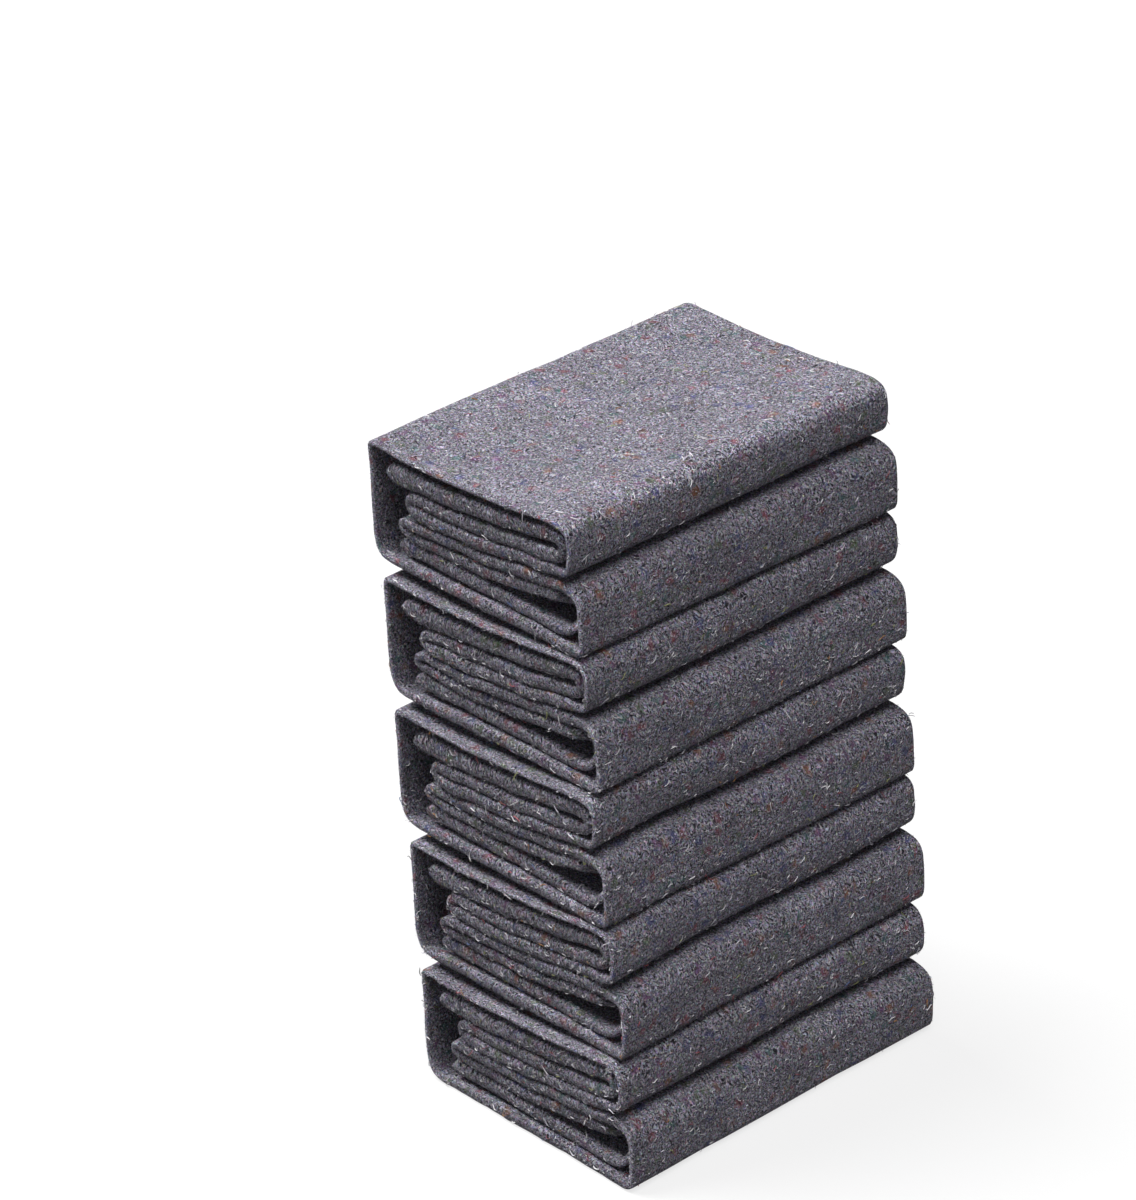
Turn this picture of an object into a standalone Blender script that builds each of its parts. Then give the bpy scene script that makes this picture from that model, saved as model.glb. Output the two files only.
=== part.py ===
# A stack of five folded moving blankets, modelled for Blender 4.5.
# Metres, +Z up. The front of the stack, where the folded edges show, faces -Y.
# The origin is on the floor, under the middle of the stack.
#
# Each blanket is one sheet of needled felt, 1.372 by 1.829 m. It is folded in four across its
# width, which makes a strip of four sheets, and the strip is folded back and forth eight times.
# The solid follows the strip: one back-and-forth section, run from the front to the back.

import math

import bmesh
import bpy
from mathutils import Vector

MM = 0.001

# The driving sizes, in millimetres
BLANKETS = 5
CUT_WIDTH = 1372.0  # the flat sheet, folded in four from front to back
DEPTH = CUT_WIDTH / 4 - 3.0
FOLDED_WIDTH = 240.0
PITCH = 113.6  # from one base to the next, which leaves half a millimetre under each
LEAN_X = 14.0  # each blanket lies this much further left than the one below it
LEAN_Y = 4.0  # and this much further back

# The eight layers of the strip, in the order in which the cloth runs through them.
# Columns: name, way it runs, left end, right end, height of the middle line at the left end,
# halfway and at the right end, thickness at the same three places, and how far its front fold
# is set back.
LAYERS = (
    ("upper_tuck", "right", 32, 216, (84.2, 88.4, 100.6), (16.6, 13.4, 12.2), 1.6),
    ("upper_return", "left", 55, 215, (69.4, 73.0, 82.6), (11.4, 12.8, 12.4), 1.2),
    ("upper_floor", "right", 55, 212, (55.6, 59.1, 69.0), (12.4, 11.4, 10.6), 1.0),
    ("cover", "left", 20, 210, (97.2, 101.6, 111.4), (4.6, 4.6, 4.6), 0.0),
    ("base", "right", 33, 234, (3.8, 5.3, 4.3), (7.6, 10.6, 8.6), 0.4),
    ("lower_roof", "left", 44, 214, (42.8, 45.9, 55.7), (8.0, 10.2, 10.4), 1.4),
    ("lower_return", "right", 44, 209, (32.4, 33.2, 43.2), (8.2, 10.8, 10.4), 2.0),
    ("lower_tuck", "left", 40, 212, (19.0, 18.7, 14.6), (12.8, 12.6, 9.0), 2.6),
)

# The turns between one layer and the next, each on the left or the right of the stack.
# Columns: where the turn's crown lies at its start and at its end, thickness at the crown,
# roundness (1 is a half circle, less is squarer), and number of steps.
TURNS = (
    (224.8, 224.4, 9.0, 1.00, 7),
    (47.0, 47.0, 8.8, 1.00, 6),
    (233.8, 233.8, 4.8, 0.56, 9),
    (-1.6, 13.4, 4.6, 0.29, 13),
    (247.2, 240.8, 4.8, 0.46, 11),
    (36.0, 36.0, 7.0, 1.00, 6),
    (237.4, 231.8, 6.4, 0.84, 8),
)
LAYER_STEPS = 6
TIP_STEPS = 3  # the rounding of the strip's two free ends
TIP_BLUNT = 0.35  # how much of one more step is left off, so that a tip keeps a flat end
EASING = (1, 4, 1)  # a point's neighbours and the point itself, where the line is eased

# Where the section stands from front to back: share of the depth, millimetres further in,
# share of the thickness, how far the top droops, and share of the base's sag. The folded
# edges at the front and back are stiffer than the middle, so they sag less.
STATIONS = (
    (0.0, 0.0, 0.62, 1.4, 0.35),
    (0.0, 3.2, 1.00, 0.8, 0.35),
    (0.20, 0.0, 1.00, 0.0, 1.0),
    (0.55, 0.0, 1.00, 0.2, 1.0),
    (1.0, -4.0, 1.00, 1.6, 0.6),
    (1.0, 0.0, 0.56, 2.4, 0.6),
)

# What differs from one blanket to the next, the lowest first: turn about the upright axis in
# degrees, share of full sag at the base, and the phase of its slow waves in radians.
BLANKET_ROWS = (
    (0.0, 0.0, 0.4),
    (0.5, 1.0, 1.9),
    (-0.4, 1.0, 3.1),
    (0.3, 1.0, 4.6),
    (-0.6, 1.0, 5.5),
)

BASE_SAG = 9.2  # how far the left of a base sinks onto the sloping top below it
SAG_FROM, SAG_TO = 96.0, 200.0  # the sag fades out between these places from the left
SAG_REACH = 82.0  # layers higher than this aren't drawn down by it
WAVE_X, WAVE_Z = 1.6, 0.7  # the slow waves of the layers along the depth
WAVE_X_TURNS, WAVE_Z_TURNS = 2.4 * math.pi, 3.1 * math.pi  # and how often they swing
DROOP_FROM = 0.4  # the ends of a blanket droop above this share of its height


def mix(a, b, share):
    return a + (b - a) * share


def through(three, share):
    """A value that runs through three given ones: at a layer's left end, halfway and right end."""
    low, middle, high = three
    return (
        low * 2 * (share - 0.5) * (share - 1)
        + middle * 4 * share * (1 - share)
        + high * 2 * share * (share - 0.5)
    )


def layer_line(row):
    """The middle line of one layer, as (x, z, thickness, set back), in the cloth's order."""
    _, way, left, right, heights, thicks, back = row
    line = []
    for step in range(LAYER_STEPS + 1):
        share = step / LAYER_STEPS
        if way == "left":
            share = 1 - share
        x, z, thick = mix(left, right, share), through(heights, share), through(thicks, share)
        line.append((x, z, thick, back))
    return line


def turn_line(start, end, row):
    """The middle line of one turn between two layers' ends, without those ends."""
    crown_start, crown_end, thick, power, steps = row
    middle, half = (start[1] + end[1]) / 2, (start[1] - end[1]) / 2
    line = []
    for step in range(1, steps):
        share = step / steps
        across, along = math.sin(math.pi * share), math.cos(math.pi * share)
        out = across**power
        root = mix(start[0], end[0], share)
        x = mix(root, mix(crown_start, crown_end, share), out)
        z = middle + half * math.copysign(abs(along) ** power, along)
        t = mix(mix(start[2], end[2], share), thick, math.sqrt(across))
        line.append((x, z, t, mix(start[3], end[3], share)))
    return line


def strip_line():
    """The whole middle line of the folded strip, from one free end to the other."""
    layers = [layer_line(row) for row in LAYERS]
    line = list(layers[0])
    for turn, following in zip(TURNS, layers[1:]):
        line += turn_line(line[-1], following[0], turn)
        line += following
    return [line[0]] + [eased(line, i) for i in range(1, len(line) - 1)] + [line[-1]]


def eased(line, i):
    """One point of the line, drawn a little towards its neighbours, as felt turns softly."""
    near = zip(line[i - 1], line[i], line[i + 1])
    return tuple(sum(w * v for w, v in zip(EASING, values)) / sum(EASING) for values in near)


def strip_sides(line):
    """For each point of the line: its place, its normal, half its thickness and its set back."""
    rows = []
    for i, (x, z, thick, back) in enumerate(line):
        before, after = line[max(i - 1, 0)], line[min(i + 1, len(line) - 1)]
        along = Vector((after[0] - before[0], after[1] - before[1])).normalized()
        rows.append((Vector((x, z)), Vector((-along.y, along.x)), thick / 2, back, along))
    return rounded_tip(rows[0], -1) + rows + rounded_tip(rows[-1], 1)


def rounded_tip(row, way):
    """Extra points that round off a free end of the strip, in the order of the line."""
    place, normal, half, back, along = row
    tip = []
    for step in range(1, TIP_STEPS + 1):
        angle = math.pi / 2 * step / (TIP_STEPS + TIP_BLUNT)
        ahead = place + along * way * half * math.sin(angle)
        tip.append((ahead, normal, half * math.cos(angle), back, along))
    return tip if way > 0 else tip[::-1]


def sag(x, z, share):
    """How far the base and the layers near it sink at this place in the section."""
    fade = min(max((x - SAG_FROM) / (SAG_TO - SAG_FROM), 0.0), 1.0)
    fade = 1 - fade * fade * (3 - 2 * fade)
    return share * BASE_SAG * fade * min(max(1 - z / SAG_REACH, 0.0), 1.0)


def placed(point, back, station, blanket):
    """A point of the section, in the stack's space, in millimetres."""
    x, z = point
    share, further, _, droop, sag_share = station
    _, sagging, phase = BLANKET_ROWS[blanket]
    set_back = {0.0: back, 1.0: -back}.get(share, 0.0)
    y = (share - 0.5) * DEPTH + further + set_back
    high = z / PITCH
    inside = math.sin(math.pi * min(max(high, 0.0), 1.0))
    side = (x / FOLDED_WIDTH) ** 2
    x += WAVE_X * side * inside * math.sin(phase + WAVE_X_TURNS * share)
    z += WAVE_Z * inside * math.sin(phase * 2 + WAVE_Z_TURNS * share)
    z -= sag(x, z, sagging * sag_share) + droop * max(high - DROOP_FROM, 0.0) / (1 - DROOP_FROM)
    return Vector((x, y, z))


def stack_place(blanket):
    """Where a blanket's own corner lies, from the corner of the lowest one."""
    return Vector((-LEAN_X * blanket, LEAN_Y * blanket, PITCH * blanket))


def blanket_mesh(name, blanket):
    """One blanket: its section of quads, extruded from the front station to the back one."""
    sides = strip_sides(strip_line())
    bm = bmesh.new()
    number = bm.verts.layers.int.new("place in the section")

    def corner(i, station):
        place, normal, half, back, _ = sides[i // 2]
        out = half * station[2] * (1 if i % 2 else -1)
        return placed(place + normal * out, back, station, blanket) * MM

    for i in range(2 * len(sides)):
        bm.verts.new(corner(i, STATIONS[0]))[number] = i
    bm.verts.ensure_lookup_table()
    faces = []
    for i in range(0, 2 * len(sides) - 2, 2):
        faces.append(bm.faces.new([bm.verts[i + k] for k in (0, 2, 3, 1)]))
    for count, station in enumerate(STATIONS[1:]):
        made = bmesh.ops.extrude_face_region(bm, geom=faces)["geom"]
        if count:
            bmesh.ops.delete(bm, geom=faces, context="FACES_ONLY")
        faces = [item for item in made if isinstance(item, bmesh.types.BMFace)]
        for vert in (item for item in made if isinstance(item, bmesh.types.BMVert)):
            vert.co = corner(vert[number], station)
    bmesh.ops.recalc_face_normals(bm, faces=bm.faces)
    mesh = bpy.data.meshes.new(name)
    bm.to_mesh(mesh)
    bm.free()
    mesh.shade_smooth()
    mesh.set_sharp_from_angle(angle=math.radians(50))
    return mesh


def felt_material():
    """Grey needled felt of recycled fibres."""
    material = bpy.data.materials.new("grey_felt")
    material.use_nodes = True
    shader = material.node_tree.nodes["Principled BSDF"]
    shader.inputs["Base Color"].default_value = (0.105, 0.1, 0.118, 1.0)
    shader.inputs["Roughness"].default_value = 0.95
    shader.inputs["Metallic"].default_value = 0.0
    return material


def build_stack():
    felt = felt_material()
    blankets = []
    for blanket in range(BLANKETS):
        name = f"blanket_{blanket + 1}"
        piece = bpy.data.objects.new(name, blanket_mesh(name, blanket))
        piece.data.materials.append(felt)
        piece.rotation_euler.z = math.radians(BLANKET_ROWS[blanket][0])
        piece.location = stack_place(blanket) * MM
        bpy.context.collection.objects.link(piece)
        blankets.append(piece)
    bpy.context.view_layer.update()
    corners = [piece.matrix_world @ vert.co for piece in blankets for vert in piece.data.vertices]
    low = Vector([min(corner[k] for corner in corners) for k in range(3)])
    high = Vector([max(corner[k] for corner in corners) for k in range(3)])
    centre = Vector(((low.x + high.x) / 2, (low.y + high.y) / 2, low.z))
    for piece in blankets:
        piece.location -= centre


for old in list(bpy.data.objects):
    bpy.data.objects.remove(old)
build_stack()
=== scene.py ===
# %% [markdown]
# # A stack of five folded moving blankets
#
# Each blanket is one sheet of grey needled felt, pressed from recycled fibres of many colours.
# It could be shown as a block with lines drawn on it, but the folds are what the eye reads. So
# every blanket here is made as the real one is: a flat cut of cloth, folded in four across its
# width and then back and forth along its length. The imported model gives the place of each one.

import math
from collections import namedtuple

import bpy
import numpy as np
from mathutils import Matrix, Vector
from mathutils.bvhtree import BVHTree


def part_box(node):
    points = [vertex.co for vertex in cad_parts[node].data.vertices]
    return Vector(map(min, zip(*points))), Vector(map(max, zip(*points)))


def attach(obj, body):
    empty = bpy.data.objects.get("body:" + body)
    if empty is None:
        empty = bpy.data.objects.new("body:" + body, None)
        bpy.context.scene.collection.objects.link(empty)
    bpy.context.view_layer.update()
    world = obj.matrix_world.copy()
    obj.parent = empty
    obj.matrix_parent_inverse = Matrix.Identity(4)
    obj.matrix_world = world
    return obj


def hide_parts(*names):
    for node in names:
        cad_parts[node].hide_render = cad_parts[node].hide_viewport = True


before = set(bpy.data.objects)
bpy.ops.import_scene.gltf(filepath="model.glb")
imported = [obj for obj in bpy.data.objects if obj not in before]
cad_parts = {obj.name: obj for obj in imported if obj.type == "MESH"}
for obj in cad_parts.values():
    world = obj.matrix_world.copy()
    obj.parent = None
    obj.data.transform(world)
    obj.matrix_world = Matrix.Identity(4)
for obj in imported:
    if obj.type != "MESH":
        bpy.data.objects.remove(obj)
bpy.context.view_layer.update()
for name in ("Cube", "Light", "Camera"):
    if name in bpy.data.objects:
        bpy.data.objects.remove(bpy.data.objects[name])

# %% [markdown]
# ## Sizes
#
# A moving blanket of this kind is cut to 54 by 72 inches. The rows below say how the folded
# strip runs through a blanket, seen from its front: eight layers, and seven turns between them.
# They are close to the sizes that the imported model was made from, so the cloth lies on its
# folds. Some ends are moved by one to four millimetres, to where the photograph has them: the
# cover's left end higher and the layers under it lower, with a dark gap between.

# %% Sizes, in millimetres
MM = 0.001
CUT_WIDTH, CUT_LENGTH = 1372.0, 1829.0
DEPTH = CUT_WIDTH / 4 - 3.0
FOLDED_WIDTH = 240.0
PITCH = 113.6  # from one blanket's base to the next
LOWEST_PLACE = (-95.82, -7.94, 0.0)  # the lower left corner of the lowest blanket
LEAN = (-14.0, 4.0, PITCH)  # from one blanket to the next one up

# name, way it runs, left end, right end, (height at the left, halfway and at the right),
# (thickness at the same places), and how far its front fold is set back
LAYERS = (
    ("upper_tuck", "right", 31, 216, (80.6, 85.6, 98.2), (16.8, 14.4, 12.4), 0.7),
    ("upper_return", "left", 52, 215, (66.4, 70.6, 80.6), (10.4, 12.4, 12.0), 1.2),
    ("upper_floor", "right", 52, 212, (54.4, 58.0, 68.4), (12.4, 11.4, 10.6), 1.0),
    ("cover", "left", 20, 210, (100.6, 102.2, 111.4), (4.6, 4.6, 4.6), 0.0),
    ("base", "right", 33, 234, (3.8, 5.3, 4.3), (7.6, 10.6, 8.6), 0.4),
    ("lower_roof", "left", 42, 214, (42.2, 45.7, 55.7), (8.0, 10.2, 10.4), 1.4),
    ("lower_return", "right", 42, 209, (32.2, 33.2, 43.2), (8.2, 10.8, 10.4), 2.0),
    ("lower_tuck", "left", 38, 212, (19.0, 18.7, 14.6), (12.8, 12.6, 9.0), 2.6),
)

# crown at the turn's start and end, thickness there, roundness, steps
TURNS = (
    (224.8, 224.4, 9.0, 1.00, 7),
    (43.8, 43.8, 8.8, 1.00, 6),
    (233.8, 233.8, 4.8, 0.56, 9),
    (-1.6, 13.4, 4.6, 0.29, 13),
    (247.2, 240.8, 4.8, 0.46, 11),
    (33.8, 33.8, 7.0, 1.00, 6),
    (237.4, 231.8, 6.4, 0.84, 8),
)
LAYER_STEPS = 6
TIP_STEPS = 3  # the rounding of the strip's two free ends
TIP_BLUNT = 0.6  # how much of one more step is left off, so that a tip keeps a small flat end
TIP_FULLNESS = 0.8  # under 1, which keeps a tip thick for longer
EASING = (1, 4, 1)  # a point's neighbours and the point itself, where the line is eased

# mm from the front, how far the top droops there, and share of the base's sag
STATIONS = ((0.0, 1.4, 0.35), (3.2, 0.8, 0.35), (DEPTH * 0.20, 0.0, 1.0),
            (DEPTH * 0.55, 0.2, 1.0), (DEPTH - 4.0, 1.6, 0.6), (DEPTH, 2.4, 0.6))

# turn about the upright axis in degrees, share of full sag, phase of the slow waves
BLANKET_ROWS = ((0.0, 0.0, 0.4), (0.5, 1.0, 1.9), (-0.4, 1.0, 3.1), (0.3, 1.0, 4.6),
                (-0.6, 1.0, 5.5))
BASE_SAG = 7.0  # how far the left of a base sinks onto the sloping top below it
SAG_FROM, SAG_TO = 96.0, 200.0  # the sag fades out between these places from the left
SAG_REACH = 82.0  # layers higher than this aren't drawn down by it
WAVE_X, WAVE_Z = 1.6, 0.7  # the slow waves of the layers along the depth
WAVE_X_TURNS, WAVE_Z_TURNS = 2.4 * math.pi, 3.1 * math.pi  # and how often they swing
DROOP_FROM = 0.4  # the ends of a blanket droop above this share of its height
print(f"{len(BLANKET_ROWS)} blankets, each {DEPTH:.0f} mm deep when folded")

# %% [markdown]
# ## The line of the strip
#
# Seen from the front, the folded strip is one long line with a thickness. Each layer is a soft
# arc and each turn is a rounded curve, from a half circle to the squarer shape of the spine.
# The layers are joined end to end, and every point is drawn a little towards its neighbours,
# because felt doesn't turn a sharp corner.


# %% One layer, one turn, and the whole line
def mix(a, b, share):
    return a + (b - a) * share


def through(three, share):
    """A value that runs through three given ones: at the left, halfway and at the right."""
    low, middle, high = three
    return (low * 2 * (share - 0.5) * (share - 1) + middle * 4 * share * (1 - share)
            + high * 2 * share * (share - 0.5))


def layer_line(row):
    """One layer's middle line, as (x, z, thickness, set back), in the cloth's order."""
    _, way, left, right, heights, thicks, back = row
    line = []
    for step in range(LAYER_STEPS + 1):
        share = step / LAYER_STEPS
        if way == "left":
            share = 1 - share
        line.append((mix(left, right, share), through(heights, share), through(thicks, share),
                     back))
    return line


def turn_line(start, end, row):
    """The middle line of a turn between two layers' ends, without those ends."""
    crown_start, crown_end, thick, power, steps = row
    middle, half = (start[1] + end[1]) / 2, (start[1] - end[1]) / 2
    line = []
    for step in range(1, steps):
        share = step / steps
        across, along = math.sin(math.pi * share), math.cos(math.pi * share)
        root = mix(start[0], end[0], share)
        x = mix(root, mix(crown_start, crown_end, share), across**power)
        z = middle + half * math.copysign(abs(along) ** power, along)
        t = mix(mix(start[2], end[2], share), thick, math.sqrt(across))
        line.append((x, z, t, mix(start[3], end[3], share)))
    return line


def tip_line(end, inner):
    """Points past a free end, where the felt thins to a soft rounded edge."""
    ahead = Vector((end[0] - inner[0], end[1] - inner[1])).normalized()
    half = end[2] / 2
    line = []
    for step in range(1, TIP_STEPS + 1):
        angle = math.pi / 2 * step / (TIP_STEPS + TIP_BLUNT)
        out = ahead * half * math.sin(angle)
        thick = end[2] * math.cos(angle)**TIP_FULLNESS
        line.append((end[0] + out.x, end[1] + out.y, thick, end[3]))
    return line


def strip_line():
    """The whole middle line of the folded strip, from one free end to the other."""
    layers = [layer_line(row) for row in LAYERS]
    line = list(layers[0])
    for turn, following in zip(TURNS, layers[1:]):
        line += turn_line(line[-1], following[0], turn)
        line += following
    eased = [line[0]]
    for near in zip(line, line[1:], line[2:]):
        eased.append(tuple(sum(weight * value for weight, value in zip(EASING, values))
                           / sum(EASING) for values in zip(*near)))
    eased.append(line[-1])
    return tip_line(eased[0], eased[1])[::-1] + eased + tip_line(eased[-1], eased[-2])


coarse = np.array(strip_line())
print(f"the line has {len(coarse)} points")

# %% [markdown]
# ## A finer line
#
# The cloth needs many more points than the line has, close together in the turns and further
# apart on the flat. A straight step between two points would show as a facet, so the finer
# points lie on a smooth curve through the others. Its slope at each point is taken from both
# neighbours, which is what keeps the curve from swinging out.


# %% A smooth curve through given points
def curve_through(known_at, known, at):
    """Values at other places of a smooth curve through known values."""
    slope = np.gradient(known, known_at, axis=0)
    i = np.clip(np.searchsorted(known_at, at, side="right") - 1, 0, len(known_at) - 2)
    gap = known_at[i + 1] - known_at[i]
    s = (at - known_at[i]) / gap
    if known.ndim > 1:
        gap, s = gap[:, None], s[:, None]
    return ((2 * s**3 - 3 * s**2 + 1) * known[i] + (s**3 - 2 * s**2 + s) * gap * slope[i]
            + (3 * s**2 - 2 * s**3) * known[i + 1] + (s**3 - s**2) * gap * slope[i + 1])


FLAT_STEP, TURN_STEP = 8.6, 2.7  # about how far apart the finer points are
TURN_FROM = math.radians(5)  # a bend sharper than this is a turn


def fine_places(line):
    """How far along the line each finer point lies: close together where the line bends."""
    legs = np.diff(line[:, :2], axis=0)
    lengths = np.hypot(*legs.T)
    at = np.concatenate([[0], np.cumsum(lengths)])
    heading = np.unwrap(np.arctan2(legs[:, 1], legs[:, 0]))
    bend = np.abs(np.concatenate([[0], np.diff(heading), [0]]))
    places = [0.0]
    for i, length in enumerate(lengths):
        step = TURN_STEP if max(bend[i], bend[i + 1]) > TURN_FROM else FLAT_STEP
        count = max(1, round(length / step))
        places += list(at[i] + length * np.arange(1, count + 1) / count)
    return at, np.array(places)


coarse_at, strip_at = fine_places(coarse)
turn_at = []  # where each turn starts and ends along the strip
point = TIP_STEPS
for turn in TURNS:
    point += LAYER_STEPS
    turn_at.append((coarse_at[point], coarse_at[point + turn[4]]))
    point += turn[4]
strip = curve_through(coarse_at, coarse, strip_at)
strip_along = np.gradient(strip[:, :2], strip_at, axis=0)
strip_along /= np.hypot(*strip_along.T)[:, None]
strip_out = np.stack([-strip_along[:, 1], strip_along[:, 0]], 1)
print(f"{len(strip)} places along a strip of {strip_at[-1]:.0f} mm")

# %% [markdown]
# ## Four sheets in one strip
#
# Cut across, the strip shows the sheet folded in four. The two outer runs are joined by a
# rounded fold at the front, and the two inner runs have their own fold just inside it. At the
# back there is one fold and two cut edges. Each place across the cloth is written as the run
# that it is on and how far along it is, and the run's height in the strip follows from how
# thick the strip is there.

# %% The places across the cloth
# how far along its run each place lies, closest together at the front, where the folds show
FROM_FRONT = np.array([0, 3, 8, 15, 25, 38, 54, 74, 98, 126, 158, 192, 226, 258, 286, 308, 324,
                       334]) / 334
INNER_FROM_FRONT = np.array([0, 12, 40, 90, 160, 230, 290, 322]) / 322
OUTER_FOLD_STEPS, SMALL_FOLD_STEPS = 9, 4
SHEETS_IN_BAND = 4.4  # the band's thickness over one sheet's: four sheets and the air between
NOSE, NOSE_MOST = 0.36, 4.2  # how deep the front fold is, over its thickness and at most
SQUARENESS = 0.62  # under 1, which makes the front fold squarer than a half circle
INNER_SET_BACK = 1.6  # how far the inner fold lies behind the outer one
USUAL_THICK = 11.0  # of a strip, for measuring how far the sheets reach

across = [("outer_inside", 1 - share) for share in FROM_FRONT[::-1]]
across += [("front_fold", step / OUTER_FOLD_STEPS) for step in range(1, OUTER_FOLD_STEPS)]
across += [("outer_outside", share) for share in FROM_FRONT]
across += [("back_fold", step / SMALL_FOLD_STEPS) for step in range(1, SMALL_FOLD_STEPS)]
across += [("inner_outside", 1 - share) for share in INNER_FROM_FRONT[::-1]]
across += [("inner_fold", step / SMALL_FOLD_STEPS) for step in range(1, SMALL_FOLD_STEPS)]
across += [("inner_inside", share) for share in INNER_FROM_FRONT]
print(f"{len(across)} places across the cloth")


# %% The cross shape of the strip
def cross_shape(front, back, thick):
    """(y, height in the strip) for each place across, at each place along. Arrays in mm."""
    sheet = thick / SHEETS_IN_BAND
    half = (thick - sheet) / 2
    nose = np.minimum(NOSE * thick, NOSE_MOST)  # how deep the front fold's rounding is
    front, back = front + sheet / 2, back - sheet / 2
    inner_front = front + sheet + INNER_SET_BACK
    small = half / 3  # the inner sheets' height, as the four lie evenly apart
    ys, heights = [], []
    for run, share in across:
        turn = math.pi * share
        if run == "outer_inside":
            y, height = mix(back, front + nose, share), half
        elif run == "front_fold":
            rise = math.copysign(abs(math.cos(turn))**SQUARENESS, math.cos(turn))
            y, height = front + nose * (1 - math.sin(turn)**SQUARENESS), half * rise
        elif run == "outer_outside":
            y, height = mix(front + nose, back - small, share), -half
        elif run == "back_fold":
            y = back - small + small * math.sin(turn)
            height = -2 * small - small * math.cos(turn)
        elif run == "inner_outside":
            y, height = mix(back - small, inner_front + small, share), -small
        elif run == "inner_fold":
            y = inner_front + small - small * math.sin(turn)
            height = -small * math.cos(turn)
        else:
            y, height = mix(inner_front + small, back, share), small
        ys.append(y)
        heights.append(height)
    return np.stack(ys, 1), np.stack(heights, 1)


trial_y, trial_height = cross_shape(np.zeros(1), np.full(1, DEPTH), np.full(1, USUAL_THICK))
across_at = np.concatenate(
    [[0], np.cumsum(np.hypot(np.diff(trial_y[0]), np.diff(trial_height[0])))])
print(f"the four sheets unfold to {across_at[-1]:.0f} mm of {CUT_WIDTH:.0f}")

# %% [markdown]
# ## Softness
#
# Nothing in felt is straight. Folding and stacking leave slow waves in every layer, a front
# edge that wanders by a millimetre or so, and a few soft troughs where the cloth was pressed.
# The troughs are listed as lines on the top and the sides with a width and a depth.
# Moving each layer by itself would push it into its neighbour. So the space that the blanket
# lies in is bent instead, a little and softly, and all the layers in it move together.

# %% The troughs and waves
# face, where it starts and ends (mm along or up the face, mm back from the front), width, depth
TROUGHS = (
    ("top", (60, 14), (168, 118), 24, 1.5),
    ("top", (140, 250), (214, 150), 28, 1.3),
    ("top", (170, 22), (214, 52), 15, 1.0),
    ("top", (8, 180), (84, 262), 22, 1.2),
    ("right", (106, 66), (70, 92), 16, 1.2),
    ("right", (98, 196), (74, 178), 14, 0.9),
    ("right", (92, 300), (64, 276), 18, 1.1),
    ("right", (52, 44), (10, 84), 17, 1.3),
    ("right", (44, 236), (12, 206), 19, 1.2),
    ("right", (30, 140), (54, 160), 13, 0.8),
    ("left", (18, 70), (88, 108), 20, 1.2),
    ("left", (92, 262), (26, 236), 22, 1.1),
)
# A trough lies a little further back or deeper on one blanket than on another: the most that it
# shifts, its usual share of the depth above, how much that varies, and the paces at which both
# change from one trough and one blanket to the next.
TROUGH_SHIFT, TROUGH_SHARE, TROUGH_SPREAD = 15, 0.8, 0.4
SHIFT_PACES, SPREAD_PACES = (1.7, 2.3), (4.1, 1.9)
FACE_REACH = 44.0  # how deep into a blanket a trough is still felt
TOP_FADE = 3  # the top's troughs fade out over the lowest third of a blanket

# length along the section and up it, and height
BAND_WAVES = ((38.0, 150.0, 0.42), (61.0, -110.0, 0.55), (104.0, 90.0, 0.6))
BAND_PACE = 1.3  # how much these waves differ from one blanket to the next
BAND_BEHIND, BAND_REACH = 0.35, 26.0  # their share far from the front, and how they fade
EDGE_WAVES = ((19.0, 0.3), (43.0, 0.55), (118.0, 0.7))  # length and height of the front edge's
EDGE_PACES = (2.1, 0.7)
EDGE_START, EDGE_BACK = 1.3, 1.55  # their phase, and how far back their middle lies
BACK_EDGE_SHARE = 0.8  # how much of them the back edge shows

# thickness of a strip that is pressed and of one that lies loose, and how much of the front
# edge's waves each of them shows
PRESSED_TO_LOOSE, WAVES_SHOWN = (4.6, 9.0), (0.22, 0.55)
SET_BACK = 1.8  # the cloth's front folds are this much further apart than the solid's

# the crumple that draws a turn back in the hollow: which turn, where along it, how wide and
# how deep, its usual share of that, and how much it varies
PINCH_TURN, PINCH_AT, PINCH_WIDTH, PINCH = 6, 0.38, 0.17, 19.0
PINCH_SHARE, PINCH_SPREAD = 0.85, 0.3


def trough_depth(face, along, y, blanket):
    """How far the troughs of one face press in, at places on that face."""
    depth = np.zeros_like(y)
    for number, (where, start, end, width, deep) in enumerate(TROUGHS):
        if where != face:
            continue
        shift = TROUGH_SHIFT * math.sin(SHIFT_PACES[0] * number + SHIFT_PACES[1] * blanket)
        a, b = np.array(start, float), np.array(end, float)
        a[1], b[1] = a[1] + shift, b[1] + shift
        leg = b - a
        reach = np.clip(((along - a[0]) * leg[0] + (y - a[1]) * leg[1]) / (leg @ leg), 0, 1)
        away = np.hypot(along - a[0] - reach * leg[0], y - a[1] - reach * leg[1])
        varies = math.sin(SPREAD_PACES[0] * number + SPREAD_PACES[1] * blanket)
        depth += deep * (TROUGH_SHARE + TROUGH_SPREAD * varies) * np.exp(-((away / width) ** 2))
    return depth


def edge_waves(at, phase):
    return sum(height * np.sin(2 * math.pi * at / length
                               + phase * (EDGE_PACES[0] + EDGE_PACES[1] * number))
               for number, (length, height) in enumerate(EDGE_WAVES))


def band_waves(x, z, phase):
    return sum(height * np.sin(2 * math.pi * (x / length + z / rise) + phase * (BAND_PACE + number))
               for number, (length, rise, height) in enumerate(BAND_WAVES))


print(f"{len(TROUGHS)} troughs on each blanket")

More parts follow.
